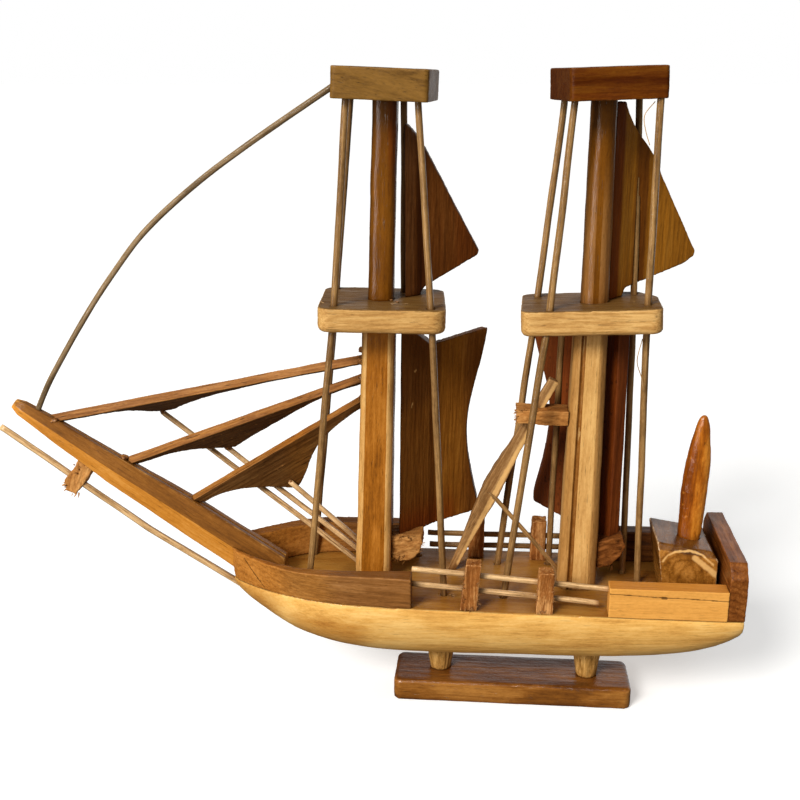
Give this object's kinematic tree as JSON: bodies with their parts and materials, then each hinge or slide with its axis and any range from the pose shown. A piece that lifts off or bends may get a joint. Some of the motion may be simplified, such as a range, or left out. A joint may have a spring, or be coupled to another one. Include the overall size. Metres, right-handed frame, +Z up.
{
  "type": "model sailing ship",
  "caption": "Hand-carved wooden model sailing ship with masts, carved board sails and stiff rod rigging, resting on a plank stand by pegs that lift out of it.",
  "frame": {"origin": "on the stand's underside, on its long centreline and near its middle", "axes": "+X points aft along the hull, +Y to starboard, +Z up"},
  "size_m": [0.2901, 0.0768, 0.2455],
  "materials": {
    "stand_wood": "gloss, dark stained",
    "peg_wood": "satin",
    "hull_wood": "satin, clear varnish",
    "bow_plank_wood": "satin, weathered varnish",
    "stern_plank_wood": "satin",
    "transom_wood": "satin, dark stained",
    "deckhouse_wood": "satin end grain",
    "ensign_post_wood": "gloss varnish",
    "bowsprit_wood": "satin varnish",
    "offcut_wood": "matte, rough sawn",
    "foremast_wood": "gloss varnish",
    "mainmast_wood": "gloss varnish",
    "topmast_wood": "gloss varnish",
    "platform_wood": "satin",
    "fore_top_wood": "satin",
    "main_top_wood": "satin, dark stained",
    "dark_sail_wood": "satin, dark stained",
    "golden_sail_wood": "satin",
    "jib_wood": "satin",
    "staysail_wood": "satin",
    "rail_post_wood": "matte, rough sawn",
    "bamboo": "satin"
  },
  "bodies": {
    "stand": {"stand_base": "stand_wood"},
    "ship": {"bobstay_block": "offcut_wood", "bobstay_rod": "bamboo", "bowsprit": "bowsprit_wood", "bulwark_bow_port": "bow_plank_wood", "bulwark_bow_stbd": "bow_plank_wood", "bulwark_stern_port": "stern_plank_wood", "bulwark_stern_stbd": "stern_plank_wood", "deckhouse": "deckhouse_wood", "ensign_post": "ensign_post_wood", "fore_lower_sail": "dark_sail_wood", "fore_platform": "platform_wood", "fore_sail_saddle": "offcut_wood", "fore_top_block": "fore_top_wood", "fore_topmast": "topmast_wood", "fore_topsail": "dark_sail_wood", "foremast": "foremast_wood", "forestay": "bamboo", "hull": "hull_wood", "jib_inner": "jib_wood", "jib_middle": "jib_wood", "jib_outer": "jib_wood", "jib_sheet_inner": "bamboo", "jib_sheet_middle": "bamboo", "jib_sheet_outer": "bamboo", "main_lower_sail": "dark_sail_wood", "main_platform": "platform_wood", "main_sail_saddle": "offcut_wood", "main_staysail": "staysail_wood", "main_top_block": "main_top_wood", "main_topmast": "topmast_wood", "main_topsail": "golden_sail_wood", "mainmast": "mainmast_wood", "rail_port_lower": "bamboo", "rail_port_upper": "bamboo", "rail_post_port_aft": "rail_post_wood", "rail_post_port_fwd": "rail_post_wood", "rail_post_stbd_aft": "rail_post_wood", "rail_post_stbd_fwd": "rail_post_wood", "rail_stbd_lower": "bamboo", "rail_stbd_upper": "bamboo", "shroud_fore_port_aft": "bamboo", "shroud_fore_port_fwd": "bamboo", "shroud_fore_stbd_aft": "bamboo", "shroud_fore_stbd_fwd": "bamboo", "shroud_main_inner": "bamboo", "shroud_main_port_aft": "bamboo", "shroud_main_port_fwd": "bamboo", "shroud_main_stbd_aft": "bamboo", "shroud_main_stbd_fwd": "bamboo", "stand_peg_aft": "peg_wood", "stand_peg_fore": "peg_wood", "staysail_bracket": "offcut_wood", "staysail_sheet": "bamboo", "transom": "transom_wood"}
  },
  "joints": [
    {"name": "ship_lift", "type": "slide", "parent": "stand", "child": "ship", "axis": [0, 0, 1], "range_m": [0, 0.03]}
  ]
}
